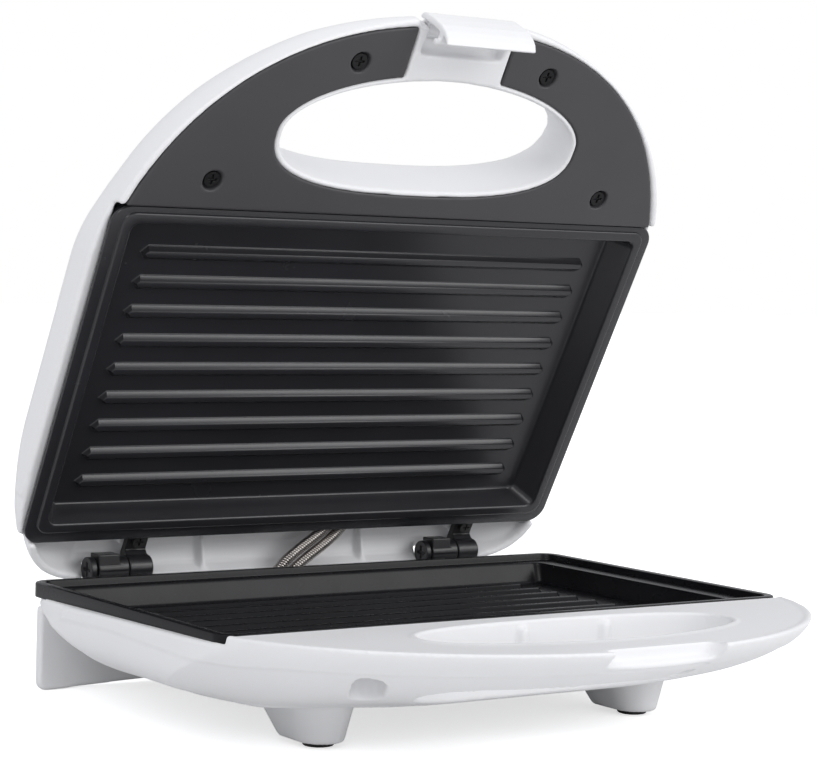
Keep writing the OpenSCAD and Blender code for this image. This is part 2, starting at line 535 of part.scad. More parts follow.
module latch_clip() color(white) at_lid() difference() {
    union() {
        across(clip_w) polygon([[-209.6, 5.2], [-211, 4.2], [-211.8, 2], [-212.1, -3], [-211.9, -8], [-211.2, -11], [-209.9, -13.2],
            [-207.8, -14.8], [-207.2, -14], [-208.6, -12.4], [-209.3, -10.6], [bar_y, bar_z - bar_r], [bar_y, bar_z + bar_r],
            [-209.5, -8], [-209.6, -3], [-209.4, 2], [-208.9, 3.6], [-208.9, 5]]);
        xcyl(-clip_w - 1.6, clip_w + 1.6, bar_y, bar_z, bar_r);
        across(16) polygon([[-211, 4.2], [-209.6, 5.2], [-206.4, 7.3], [-205.5, 7.5], [-205.5, 2.2], [-206.8, 2.4], [-209.4, 1]]);
        xcyl(-16, 16, latch_y, latch_z, 2.8);
    }
    xcyl(-30, 30, latch_y, latch_z, latch_pin_r + run_fit);
}

base_shell();
rear_stand();
front_feet();
base_deck();
lower_plate();
lower_plate_screws();
lower_element();
lower_reflector();
lower_clips();
thermostat();
thermal_fuse();
terminal_block();
cord_inlet();
hinge_bracket_left();
hinge_bracket_right();
bracket_screws();
hinge_pins();
foot_pads();
deck_screws();
conduit_left();
conduit_right();
lid_shell();
lid_panel();
upper_plate();
upper_plate_screws();
upper_element();
upper_reflector();
upper_clips();
panel_screws();
hinge_arm_left();
hinge_arm_right();
arm_screws();
power_lens();
ready_lens();
lamp_holder();
latch_pin();
latch_clip();
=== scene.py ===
"""Looks of a white two-slice sandwich toaster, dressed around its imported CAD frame.

Local frames are in millimetres: BASE has the lower plate's rim at z = 0, LID is the shut lid turned open.
"""

import json
import math

import bmesh
import bpy
import numpy as np
from mathutils import Matrix, Vector

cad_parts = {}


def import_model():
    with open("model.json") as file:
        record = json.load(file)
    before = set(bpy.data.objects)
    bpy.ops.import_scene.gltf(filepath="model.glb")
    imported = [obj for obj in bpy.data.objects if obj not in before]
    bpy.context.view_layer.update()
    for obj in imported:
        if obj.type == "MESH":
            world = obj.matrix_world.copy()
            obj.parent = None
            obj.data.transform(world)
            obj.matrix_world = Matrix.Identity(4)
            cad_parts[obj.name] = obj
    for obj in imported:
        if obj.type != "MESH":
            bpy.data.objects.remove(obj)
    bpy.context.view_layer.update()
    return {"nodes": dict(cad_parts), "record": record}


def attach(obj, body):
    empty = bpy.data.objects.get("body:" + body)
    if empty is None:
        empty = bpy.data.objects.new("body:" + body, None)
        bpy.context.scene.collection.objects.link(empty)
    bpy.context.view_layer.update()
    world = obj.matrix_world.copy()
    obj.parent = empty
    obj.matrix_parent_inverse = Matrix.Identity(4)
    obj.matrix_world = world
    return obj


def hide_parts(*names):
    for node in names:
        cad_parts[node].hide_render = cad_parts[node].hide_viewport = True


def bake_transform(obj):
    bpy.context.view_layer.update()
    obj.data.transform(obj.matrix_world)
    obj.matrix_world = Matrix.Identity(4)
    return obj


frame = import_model()

# ---------------------------------------------------------------- places and driving sizes (mm, local frames)
FRAME_Y, RIM_Z = 90.7, 42.3  # BASE's origin in the shared frame
LID_OPEN, SHUT_GAP = math.radians(61), 1.0
HINGE_Y, HINGE_Z = 16.7, 0.92
MID_Y = -110.0  # the shells' widest line
SHELL_A, SHELL_BF, SHELL_BR = 119.5, 101.4, 135.4  # half width, and reach ahead of and behind that line
SHELL_POWER, SHELL_POWER_BACK = 2, 6.7  # how square the shells are in plan, ahead of and behind that line
LID_HIGH, BASE_DEEP = 26.5, 28.5
LID_SQUARE = 9  # how square the lid's skin is at the back
PLATE_D = 131.2
PLATE_C = -PLATE_D / 2
BASIN, PLATE_T, SEAT = 10.5, 2.4, 2.6
RIB_COUNT, RIB_H = 9, 2.0
POSTS = [(side * 80, y) for side in (-1, 1) for y in (-30, -100.5)]
POST_R = 4
ELEMENT_DROP, ELEMENT_R, POST_SPARE = 3.3, 3.2, 0.6
POST_END = BASIN + PLATE_T + ELEMENT_DROP + ELEMENT_R + POST_SPARE
HOLE_A, HOLE_BF, HOLE_BR, HOLE_Y = 62.0, 23, 20.2, -164.5
HOLE_WALL, PANEL_FIT = 2, 0.05  # the wall round the hand hole, and the panel's gap to it
RECESS_A, RECESS_B, RECESS_POWER, RECESS_Y = 119.0, 120.4, 2.3, -87.6  # the arc of the lid's recess for the panel
PANEL_INSET = 0.2
DECK_BACK, SCREW_SPLIT = -130, -180  # where the deck starts, and between the panel's two rows of screws

# The photo's camera: degrees, metres and pixels
AZIMUTH, LIFT, ROLL = (math.radians(turn) for turn in (-34.398, 2.730, 1.691))
EYE = (-0.491397, -0.687116, 0.158840)
FOCAL_PIXELS, PHOTO_WIDTH, SENSOR_WIDTH = 2428.39, 817, 36

MM = Matrix.Scale(0.001, 4)
BASE = Matrix.Translation((0, FRAME_Y / 1000, RIM_Z / 1000)) @ MM
LID = (
    Matrix.Translation((0, (FRAME_Y + HINGE_Y) / 1000, (RIM_Z + HINGE_Z) / 1000))
    @ Matrix.Rotation(-LID_OPEN, 4, "X")
    @ Matrix.Translation((0, -HINGE_Y / 1000, (SHUT_GAP - HINGE_Z) / 1000))
    @ MM
)
LID_DOWN = LID @ Matrix.Scale(-1, 4, (0, 0, 1))  # a lid piece drawn like its twin in the base


# ---------------------------------------------------------------- camera
def camera():
    """The camera that the photo was taken with, recovered from the plate's corners, the hinge line and the feet."""
    ahead = Vector((-math.sin(AZIMUTH) * math.cos(LIFT), math.cos(AZIMUTH) * math.cos(LIFT), -math.sin(LIFT)))
    right = ahead.cross(Vector((0, 0, 1))).normalized()
    up = right.cross(ahead)
    turned = right * math.cos(ROLL) + up * math.sin(ROLL)
    up = up * math.cos(ROLL) - right * math.sin(ROLL)
    data = bpy.data.cameras.new("camera")
    data.sensor_width = SENSOR_WIDTH
    data.lens = FOCAL_PIXELS / PHOTO_WIDTH * SENSOR_WIDTH
    data.clip_end = 20
    eye = bpy.data.objects.new("camera", data)
    pose = Matrix((turned, up, -ahead)).transposed().to_4x4()
    pose.translation = EYE
    eye.matrix_world = pose
    bpy.context.scene.collection.objects.link(eye)
    bpy.context.scene.camera = eye


camera()


# ---------------------------------------------------------------- materials
def shader(name):
    """A new material with its node tree and its main shader."""
    made = bpy.data.materials.new(name)
    made.use_nodes = True
    return made, made.node_tree, made.node_tree.nodes["Principled BSDF"]


def noise(tree, scale, detail=3.0, stretch=None):
    """Noise in the piece's own space; stretch squeezes it along an axis."""
    place = tree.nodes.new("ShaderNodeTexCoord")
    made = tree.nodes.new("ShaderNodeTexNoise")
    made.inputs["Scale"].default_value = scale
    made.inputs["Detail"].default_value = detail
    source = place.outputs["Object"]
    if stretch:
        mapping = tree.nodes.new("ShaderNodeMapping")
        mapping.inputs["Scale"].default_value = stretch
        tree.links.new(source, mapping.inputs["Vector"])
        source = mapping.outputs["Vector"]
    tree.links.new(source, made.inputs["Vector"])
    return made.outputs["Fac"]


def ramp(tree, fac, stops):
    """Colours or grey values over a field: (place, value) for each stop."""
    made = tree.nodes.new("ShaderNodeValToRGB")
    points = made.color_ramp.elements
    while len(points) < len(stops):
        points.new(0.5)
    for point, (place, colour) in zip(points, stops):
        point.position = place
        point.color = (*colour, 1) if hasattr(colour, "__len__") else (colour, colour, colour, 1)
    tree.links.new(fac, made.inputs["Fac"])
    return made.outputs["Color"]


def bump(tree, shade, layers):
    """Bump from several noises: (height field, distance in metres)."""
    last = None
    for field, depth in layers:
        made = tree.nodes.new("ShaderNodeBump")
        made.inputs["Strength"].default_value = 1.0
        made.inputs["Distance"].default_value = depth
        tree.links.new(field, made.inputs["Height"])
        if last is not None:
            tree.links.new(last, made.inputs["Normal"])
        last = made.outputs["Normal"]
    tree.links.new(last, shade.inputs["Normal"])


def plastic(name, dull, bright, rough, grain=2600.0, depth=3e-6, wave=6e-6, shine=0.5):
    """Moulded, painted or coated surface: a fine grain over a slow wave, both with a depth in metres."""
    made, tree, shade = shader(name)
    tree.links.new(ramp(tree, noise(tree, 22, 4), [(0.3, dull), (0.7, bright)]), shade.inputs["Base Color"])
    low, high = rough
    tree.links.new(ramp(tree, noise(tree, 60, 5), [(0.25, low), (0.75, high)]), shade.inputs["Roughness"])
    bump(tree, shade, [(noise(tree, grain, 2), depth), (noise(tree, 45, 2), wave)])
    shade.inputs["Specular IOR Level"].default_value = shine
    return made


def metal(name, dull, bright, rough, stretch=None):
    """Bare metal; stretch gives it a brushed direction."""
    made, tree, shade = shader(name)
    shade.inputs["Metallic"].default_value = 1.0
    colour = ramp(tree, noise(tree, 140, 5, stretch), [(0.25, dull), (0.75, bright)])
    tree.links.new(colour, shade.inputs["Base Color"])
    low, high = rough
    tree.links.new(ramp(tree, noise(tree, 260, 5, stretch), [(0.3, low), (0.7, high)]), shade.inputs["Roughness"])
    bump(tree, shade, [(noise(tree, 900, 3, stretch), 4e-6)])
    return made


def glassy(name, dull, bright):
    """Tinted lamp lens."""
    made, tree, shade = shader(name)
    tree.links.new(ramp(tree, noise(tree, 400, 3), [(0.3, dull), (0.7, bright)]), shade.inputs["Base Color"])
    tree.links.new(ramp(tree, noise(tree, 700, 3), [(0.3, 0.08), (0.7, 0.16)]), shade.inputs["Roughness"])
    shade.inputs["Transmission Weight"].default_value = 0.35
    shade.inputs["IOR"].default_value = 1.49
    bump(tree, shade, [(noise(tree, 1500, 2), 4e-6)])
    return made


LOOKS = {
    "white_shell": plastic(
        "white_plastic", (0.825, 0.825, 0.835), (0.835, 0.835, 0.845), (0.46, 0.52), wave=3e-6, shine=0.35
    ),
    "dark_panel": plastic(
        "charcoal_plastic", (0.045, 0.043, 0.047), (0.050, 0.048, 0.052), (0.42, 0.48), depth=5e-6
    ),
    "non_stick": plastic(
        "non_stick_coating", (0.020, 0.020, 0.023), (0.025, 0.025, 0.029), (0.22, 0.28), 3800, 5e-6, 3e-6
    ),
    "hinge_black": plastic(
        "hinge_paint", (0.012, 0.012, 0.014), (0.018, 0.018, 0.020), (0.28, 0.36), 1800, 6e-6
    ),
    "bright_steel": metal("bright_steel", (0.44, 0.41, 0.39), (0.52, 0.49, 0.47), (0.2, 0.26)),
    "zinc_screw": metal("zinc", (0.5, 0.5, 0.49), (0.66, 0.66, 0.64), (0.3, 0.45)),
    "element": metal("heater_sheath", (0.16, 0.15, 0.15), (0.27, 0.25, 0.24), (0.45, 0.6)),
    "reflector": metal(
        "reflector_aluminium", (0.62, 0.62, 0.63), (0.76, 0.76, 0.77), (0.25, 0.42), (1, 14, 1)
    ),
    "foot_rubber": plastic(
        "foot_rubber", (0.012, 0.012, 0.012), (0.022, 0.022, 0.022), (0.65, 0.8), 1500, 3e-5
    ),
    "ceramic": plastic("ceramic", (0.66, 0.62, 0.53), (0.75, 0.71, 0.62), (0.45, 0.6), 1200, 1e-5),
    "black_plastic": plastic("black_plastic", (0.018, 0.018, 0.019), (0.028, 0.028, 0.03), (0.35, 0.45)),
    "red_lens": glassy("red_lens", (0.55, 0.02, 0.012), (0.7, 0.035, 0.02)),
    "green_lens": glassy("green_lens", (0.02, 0.38, 0.08), (0.035, 0.5, 0.12)),
}
SLOT_OF = {node: entry["slot"] for entry in frame["record"]["materials"] for node in entry.get("nodes", [])}


# ---------------------------------------------------------------- mesh helpers
def piece(name, co, faces, place, body, look, stands_for):
    """A finished piece from millimetre points and faces, attached to a body when one is given."""
    mesh = bpy.data.meshes.new(name)
    mesh.from_pydata([tuple(p) for p in co], [], [tuple(f) for f in faces])
    mesh.transform(place)
    if place.determinant() < 0:
        mesh.flip_normals()
    mesh.materials.append(LOOKS[look])
    mesh.shade_smooth()
    made = bpy.data.objects.new(name, mesh)
    bpy.context.scene.collection.objects.link(made)
    if body:
        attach(made, body)
    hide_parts(*stands_for)
    return made


def node_mesh(nodes, place):
    """The CAD nodes' faces together, in a local frame."""
    back = place.inverted()
    co, faces, start = [], [], 0
    for node in nodes:
        mesh = frame["nodes"][node].data
        co += [tuple(back @ v.co) for v in mesh.vertices]
        faces += [[start + v for v in p.vertices] for p in mesh.polygons]
        start += len(mesh.vertices)
    mesh = bpy.data.meshes.new("source")
    mesh.from_pydata(co, [], faces)
    if back.determinant() < 0:
        mesh.flip_normals()
    return mesh


def voxels(mesh, size):
    """Points and quads of the mesh's voxel remesh."""
    thing = bpy.data.objects.new("source", mesh)
    bpy.context.scene.collection.objects.link(thing)
    remesh = thing.modifiers.new("remesh", "REMESH")
    remesh.mode = "VOXEL"
    remesh.voxel_size = size
    remesh.adaptivity = 0
    grown = bpy.data.meshes.new_from_object(thing.evaluated_get(bpy.context.evaluated_depsgraph_get()))
    co = np.empty(len(grown.vertices) * 3)
    grown.vertices.foreach_get("co", co)
    quads = np.empty(len(grown.loops), int)
    grown.loops.foreach_get("vertex_index", quads)
    bpy.data.objects.remove(thing)
    bpy.data.meshes.remove(grown)
    return co.reshape(-1, 3), quads.reshape(-1, 4)


def edges_of(quads):
    """Each edge of the quads once, as a pair of point numbers."""
    pairs = np.concatenate([quads[:, [0, 1]], quads[:, [1, 2]], quads[:, [2, 3]], quads[:, [3, 0]]])
    return np.unique(np.sort(pairs, 1), axis=0)


def relax(co, edges, share, free=None):
    """Moves each point by a share of the way to the middle of its neighbours."""
    a, b = edges.T
    count = np.bincount(a, minlength=len(co)) + np.bincount(b, minlength=len(co))
    total = [np.bincount(a, co[b, k], len(co)) + np.bincount(b, co[a, k], len(co)) for k in range(3)]
    move = share * (np.stack(total, 1) / count[:, None] - co)
    return co + (move if free is None else move * free[:, None])


def normals(co, quads):
    """Each point's normal."""
    d = np.cross(co[quads[:, 2]] - co[quads[:, 0]], co[quads[:, 3]] - co[quads[:, 1]])
    n = np.stack([sum(np.bincount(quads[:, k], d[:, j], len(co)) for k in range(4)) for j in range(3)], 1)
    return n / np.maximum(np.linalg.norm(n, axis=1), 1e-12)[:, None]


def flats(mesh, area):
    """Planes of the CAD faces that together are larger than an area: normal, offset and box."""
    found = {}
    co = np.array([v.co for v in mesh.vertices])
    for p in mesh.polygons:
        n = np.array(p.normal)
        at = float(n @ co[p.vertices[0]])
        key = (*np.round(n, 2), round(at * 10))
        entry = found.setdefault(key, [n, at, 0.0, []])
        entry[2] += p.area
        entry[3] += list(p.vertices)
    return [(n, at, co[ids].min(0), co[ids].max(0)) for n, at, size, ids in found.values() if size > area]


def step(x, low, high):
    """0 below low, 1 above high and smooth between them."""
    t = np.clip((x - low) / (high - low), 0, 1)
    return t * t * (3 - 2 * t)


def on(plane, shape, reach):
    """Whether a plane is one facet of a true surface."""
    normal, at, low, high = plane
    middle = (low + high)[None] / 2
    middle = middle - (middle @ normal - at)[:, None] * normal
    away, slope = shape(middle)
    return abs(away[0]) < reach and abs(slope[0] @ normal) > 0.97


SHRINK, SWELL = 0.5, -0.52  # the two shares of one round of smoothing
LAYINGS = 4  # times that a smoothed piece is laid back on its true surfaces


def grow(name, nodes, place, body, look, voxel, rounds, shapes, area, reach=0.7, carve=None):
    """A piece with soft moulded edges over CAD nodes: remeshed, smoothed, then laid back on its true surfaces.

    These are the shapes, and the CAD's planes over an area. Points within reach of them are laid on them.
    """
    source = node_mesh(nodes, place)
    planes = [p for p in flats(source, area) if not any(on(p, shape, reach) for shape in shapes)]
    co, quads = voxels(source, voxel)
    edges = edges_of(quads)
    for _ in range(rounds):
        co = relax(relax(co, edges, SHRINK), edges, SWELL)
    taken = np.zeros(len(co))
    for again in range(LAYINGS):
        for _ in range(3 if again else 0):  # evens the mesh out along the surfaces it has been laid on
            co = relax(co, edges, SHRINK, taken)
        n = normals(co, quads)
        taken = np.zeros(len(co))
        for shape in shapes:
            away, slope = shape(co)
            level = step(np.abs((n * slope).sum(1)), 0.8, 0.95)
            grip = level * step(reach - np.abs(away), 0, 0.3) * (1 - taken)
            co = co - (grip * away)[:, None] * slope
            taken = np.maximum(taken, grip)
        for normal, at, low, high in planes:
            away = co @ normal - at
            near = ((co > low - 1) & (co < high + 1)).all(1) * step(reach - np.abs(away), 0, 0.2)
            grip = step(n @ normal, 0.9, 0.97) * near * (1 - taken)
            co = co - (grip * away)[:, None] * normal
            taken = np.maximum(taken, grip)
        for _ in range(2):
            co = relax(co, edges, 0.4, 1 - taken)
    if carve:
        co = carve(co, normals(co, quads))
    return piece(name, co, quads, place, body, look, nodes)


# ---------------------------------------------------------------- true surfaces of the shells
def oval(a, front, back, power, power_back, centre):
    """Wall of an oval in plan, with its own reach and power ahead of and behind its centre."""

    def field(co):
        x, y = co[:, 0], co[:, 1] - centre
        ahead = y < 0
        b = np.where(ahead, front, back)
        p = np.where(ahead, power, power_back)
        u, v = np.maximum(np.abs(x) / a, 1e-6), np.maximum(np.abs(y) / b, 1e-6)
        value = u**p + v**p - 1
        gx, gy = p / a * u ** (p - 1) * np.sign(x), p / b * v ** (p - 1) * np.sign(y)
        size = np.maximum(np.hypot(gx, gy), 1e-9)
        return value / size, np.stack([gx / size, gy / size, np.zeros(len(co))], 1)

    return field


def hole(grown=0.0):
    """The hand hole's wall, or one that lies outside it."""
    return oval(HOLE_A + grown, HOLE_BF + grown, HOLE_BR + grown, 1.9, 2.7, HOLE_Y)


def recess(inset=0.0):
    """The arc of the lid's recess for the panel, or one that lies inside it."""
    return oval(RECESS_A - inset, RECESS_B - inset, RECESS_B - inset, RECESS_POWER, RECESS_POWER, RECESS_Y)


SOFT, CREASE = 3.0, 0.15  # how far two parts of a skin run into each other, and how sharp a crease has to be


def clam(fall, rear, height, square, up):
    """The bulging skin: its fall-off (length and power) ahead by direction, at the rear corners and at the rear."""
    front = np.arange(-90, 90.1, 3.0)
    steps = [0, 22.5, 45, 67.5, 90]
    lengths = np.interp(np.abs(front), steps, [f[0] for f in fall])
    powers = np.interp(np.abs(front), steps, [f[1] for f in fall])
    groups = [
        list(zip(front, lengths, powers)),
        [(135, *rear[0])],
        [(-135, *rear[0])],
        [(180, *rear[1])],
    ]

    def one(co, z, turn, length, power):
        f = math.radians(turn)
        behind = abs(turn) > 90
        b, q = (SHELL_BR, square / (square - 1)) if behind else (SHELL_BF, 2)
        edge = ((SHELL_A * abs(math.sin(f))) ** q + (b * abs(math.cos(f))) ** q) ** (1 / q)
        s = co[:, 0] * math.sin(f) - (co[:, 1] - MID_Y) * math.cos(f)
        u = np.maximum((s - edge + length) / length, 0)
        v = np.maximum(z / height, 1e-4)
        value = u**power + v**power - 1
        gs, gz = power / length * u ** (power - 1), power / height * v ** (power - 1)
        size = np.maximum(np.hypot(gs, gz), 1e-9)
        return value / size, gs / size * math.sin(f), -gs / size * math.cos(f), gz / size

    def field(co):
        z = co[:, 2] * up
        total = None
        for group in groups:
            best = None
            for turn, length, power in group:
                now = np.stack(one(co, z, turn, length, power))
                best = now if best is None else np.where(now[0] > best[0], now, best)
            if total is None:
                total = best
                continue
            share = np.clip(0.5 + (total[0] - best[0]) / (2 * SOFT), 0, 1)
            blend = total * share + best * (1 - share)
            crease = 1 - (total[1:] * best[1:]).sum(0)
            blend[0] += SOFT * share * (1 - share) * np.clip(crease / CREASE, 0, 1)
            total = blend
        slope = np.stack([total[1], total[2], total[3] * up], 1)
        slope /= np.maximum(np.linalg.norm(slope, axis=1), 1e-9)[:, None]
        return total[0], slope

    return field


LID_SKIN = clam(
    [(151, 2), (158, 3.6), (117, 3.8), (134, 4), (119, 7)], [(50, 1.35), (85.8, 2.2)], LID_HIGH, LID_SQUARE, 1
)
BASE_SKIN = clam(
    [(101, 1.57), (80, 1.5), (52, 1.5), (40, 1.7), (119, 5.3)], [(70, 1.7), (100.4, 2.5)],
    BASE_DEEP, SHELL_POWER_BACK, -1,
)
OUTLINE = oval(SHELL_A, SHELL_BF, SHELL_BR, SHELL_POWER, SHELL_POWER_BACK, MID_Y)


# ---------------------------------------------------------------- white mouldings
DECK_SINK, SKIN_STEP = 0.35, 0.4
# y and z of the lower edge of the base's top band
BAND_EDGE = [(-215, -8.4), (-175, -8.6), (-150, -8.8), (-134, -10.2), (-60, -8.2), (0, -10.7)]


def base_step(co, n):
    """The deck's middle a little under its lip, and a shallow step round the skin under the top band."""
    from_hole, from_rim = hole()(co)[0], -OUTLINE(co)[0]
    flat = step(n[:, 2], 0.6, 0.85) * step(DECK_BACK - co[:, 1], 0, 6) * step(co[:, 2], -4, -2)
    sunk = step(from_rim, 1.6, 3.4) * step(from_hole, 1.2, 2.8) * flat
    away, slope = BASE_SKIN(co)
    outer = step(0.9 - np.abs(away), 0, 0.5) * step((n * slope).sum(1), 0.6, 0.9) * step(-n[:, 2], -0.5, -0.3)
    edge = np.interp(co[:, 1], *zip(*BAND_EDGE))
    under = step(edge - co[:, 2], -0.5, 0.5) * step(co[:, 2], -30, -9)
    out = co - (SKIN_STEP * under * outer)[:, None] * n
    out[:, 2] -= DECK_SINK * sunk
    return out


grow("base_moulding", ["base_shell", "base_deck", "rear_stand", "front_feet"], BASE, "base", "white_shell", 0.7, 7,
     [BASE_SKIN, hole(), hole(HOLE_WALL)], 420.0, carve=base_step)
grow("lid_moulding", ["lid_shell"], LID, "lid", "white_shell", 0.8, 6,
     [LID_SKIN, hole(), hole(HOLE_WALL), recess()], 420.0)
grow("lid_inner_panel", ["lid_panel"], LID, "lid", "dark_panel", 0.5, 4,
     [recess(PANEL_INSET), hole(HOLE_WALL + PANEL_FIT)], 60.0)
grow("latch_cover", ["latch_clip"], LID, "latch", "white_shell", 0.3, 6, (), 60.0, reach=0.4)


# ---------------------------------------------------------------- cooking plates
def ring(half, back, front, radius, z, turns=10):
    """One closed loop of a rounded rectangle, anticlockwise from above."""
    middle, reach = (back + front) / 2, (back - front) / 2
    points = []
    for quarter, (right, behind) in enumerate([(1, 1), (-1, 1), (-1, -1), (1, -1)]):
        x, y = right * (half - radius), middle + behind * (reach - radius)
        for i in range(turns + 1):
            t = math.pi / 2 * (quarter + i / turns)
            points.append((x + radius * math.cos(t), y + radius * math.sin(t), z))
    return points


def bands(count, size):
    """Quads between a number of closed loops of the same size."""
    faces = []
    for level in range(count - 1):
        a, b = level * size, (level + 1) * size
        faces += [(a + i, a + (i + 1) % size, b + (i + 1) % size, b + i) for i in range(size)]
    return faces


def lathe(profile, x, y, turns=32):
    """Points and faces of a turned form about a vertical axis, closed at both ends."""
    co = [(x + r * math.cos(2 * math.pi * k / turns), y + r * math.sin(2 * math.pi * k / turns), z)
          for r, z in profile for k in range(turns)]
    faces = bands(len(profile), turns)
    faces += [tuple(range(turns))[::-1], tuple((len(profile) - 1) * turns + k for k in range(turns))]
    return co, faces


def add(store, co, faces):
    """Puts points and faces into a store that holds both."""
    store[1].extend([tuple(len(store[0]) + v for v in f) for f in faces])
    store[0].extend(co)


# A level of a plate's profile is its half width, back, front, corner radius and height.
BELOW = [  # from the body's underside to the skirt
    (105.9, -4.1, -127.1, 4.8, -BASIN - PLATE_T), (106.5, -3.5, -127.7, 5.2, -BASIN - PLATE_T + 0.5),
    (110.3, -2.2, -129, 6, -4.2), (112.3, -0.2, -131, 6, -4.2), (112.3, -0.2, -131, 6, -6),
    (113.9, 1.4, -132.6, 6.3, -6), (114.4, 1.9, -133.1, 6.5, -5.8), (114.5, 2, -133.2, 6.5, -5.3),
]
FLOOR = [  # the foot of the basin's wall
    (104.3, -5.7, -125.5, 3.2, -9.5), (104.0, -6.0, -125.2, 3.1, -10.1), (103.6, -6.4, -124.8, 2.9, -10.42),
    (103, -7, -124.2, 2.6, -BASIN),
]
LOWER = [  # rim wall, seat and basin
    (116.2, 4.2, -133.2, 6.9, -5.2), (116.45, 4.45, -133.2, 7, -5.1), (116.5, 4.5, -133.2, 7, -4.8),
    (116.5, 4.5, -133.2, 7, -0.6), (116.38, 4.38, -133.08, 6.9, -0.2), (116, 4, -132.7, 6.7, 0),
    (113.6, 2, -131, 5, 0), (113.2, 1.6, -130.6, 4.7, -0.15), (113, 1.4, -130.4, 4.5, -0.5),
    (113, 1.4, -130.4, 4.5, -2.2), (112.85, 1.25, -130.25, 4.4, -2.5), (112.5, 0.9, -129.9, 4.2, -SEAT),
    (105.3, -2.9, -128.3, 3.9, -SEAT), (104.95, -3.25, -127.95, 3.7, -2.68), (104.72, -3.5, -127.7, 3.5, -3.0),
    (104.66, -3.75, -127.45, 3.4, -3.7),
]
UPPER = [  # lip, flat band and basin
    (114.5, 2, -133.2, 6.5, -2.7), (116.1, 4.1, -133.2, 6.9, -2.5), (116.4, 4.4, -133.2, 7, -2.42),
    (116.5, 4.5, -133.2, 7, -2.15), (116.5, 4.5, -133.2, 7, -1.35), (116.38, 4.38, -133.1, 7, -1.1),
    (116.1, 4.1, -132.85, 6.9, -1.0),
    (113, 0.5, -131.6, 5.3, -1.0), (112.62, 0.12, -131.3, 5.1, -0.95), (112.5, 0, -131.2, 5, -0.8),
    (112.44, -0.06, -131.14, 4.9, -0.5), (112.2, -0.3, -130.9, 4.7, -0.18), (111.9, -0.6, -130.6, 4.5, -0.04),
    (111.55, -0.95, -130.25, 4.3, 0), (109.5, -3.0, -128.2, 3.9, 0), (109.1, -3.4, -127.8, 3.7, -0.06),
    (108.7, -3.75, -127.45, 3.6, -0.26), (108.45, -4, -127.2, 3.5, -0.65), (108.25, -4.15, -127.05, 3.5, -1.1),
]


def plate(name, node, place, body, top, ribs):
    """A casting from its loops, with its posts and its ribs (place of the middle one, spacing, half length)."""
    store = ([], [])
    loops = [ring(*level) for level in BELOW + top + FLOOR]
    size = len(loops[0])
    faces = bands(len(loops), size)
    faces.append(tuple(range(size))[::-1])
    faces.append(tuple((len(loops) - 1) * size + k for k in range(size)))
    add(store, [p for loop in loops for p in loop], faces)
    post = [
        (POST_R - 0.8, -POST_END), (POST_R - 0.1, -POST_END + 0.7), (POST_R, -POST_END + 1.6), (POST_R, -BASIN - 0.6)
    ]
    for x, y in POSTS:
        add(store, *lathe(post, x, y))
    middle, pitch, half = ribs
    for i in range(RIB_COUNT):
        add(store, *rib(middle + (i - (RIB_COUNT - 1) / 2) * pitch, half))
    return piece(name, *store, place, body, "non_stick", [node])


RIB_TIP, RIB_SLANT, RIB_TAPER = 2.1, 0.9, 0.95  # of a pointed end: its set-back, its slope and its length by width


def rib(y, reach):
    """A toasting rib: flat top, sloping sides, pointed ends, its foot and its top edges rounded."""
    sides = [  # half width and height, from the foot's fillet over the side to the rounded top edge
        (3.3, -0.3), (3.1, -0.05), (2.9, 0.04), (2.66, 0.16), (2.42, 0.42), (1.42, RIB_H - 0.52),
        (1.26, RIB_H - 0.22), (1.04, RIB_H - 0.05), (0.76, RIB_H),
    ]
    co = []
    for half, z in sides:
        point = reach - RIB_TIP + RIB_SLANT * half
        shoulder = point - RIB_TAPER * half
        corners = [(point, 0), (shoulder, half), (-shoulder, half), (-point, 0), (-shoulder, -half), (shoulder, -half)]
        co += [(x, y + out, z - BASIN) for x, out in corners]
    faces = bands(len(sides), 6)
    last = (len(sides) - 1) * 6
    faces += [(5, 4, 3, 2, 1, 0), (last, last + 1, last + 2, last + 3), (last, last + 3, last + 4, last + 5)]
    return co, faces


def crisp(made, angle=35):
    """Smooth shading that keeps the edges sharper than an angle."""
    mesh = made.data
    work = bmesh.new()
    work.from_mesh(mesh)
    for edge in work.edges:
        edge.smooth = len(edge.link_faces) == 2 and edge.calc_face_angle(0) < math.radians(angle)
    work.to_mesh(mesh)
    work.free()
    return made


lower = crisp(plate("lower_plate_casting", "lower_plate", BASE, "base", LOWER, (PLATE_C, 11.8, 86)))
# Painted shade: the lower plate's coating is a darker, less shiny copy of the upper plate's non-stick coating,
# standing in for the shade it lies in.
lower.data.materials[0] = plastic(
    "non_stick_painted_shade", (0.007, 0.007, 0.008), (0.011, 0.011, 0.013), (0.24, 0.3), 3800, 5e-6, 3e-6, shine=0.18
)
crisp(plate("upper_plate_casting", "upper_plate", LID_DOWN, "lid", UPPER, (PLATE_C + 2.3, 11.9, 96.4)))


# ---------------------------------------------------------------- hinges, screws and other small parts
HEAD_SHARE = 0.89


def small_heads(co, _):
    """The panel's screws a little smaller than their countersinks."""
    out = co.copy()
    for side in (-1, 1):
        for ahead in (False, True):
            mine = (co[:, 0] * side > 0) & ((co[:, 1] < SCREW_SPLIT) == ahead)
            middle = (co[mine, :2].max(0) + co[mine, :2].min(0)) / 2
            out[mine, :2] = middle + HEAD_SHARE * (co[mine, :2] - middle)
    return out


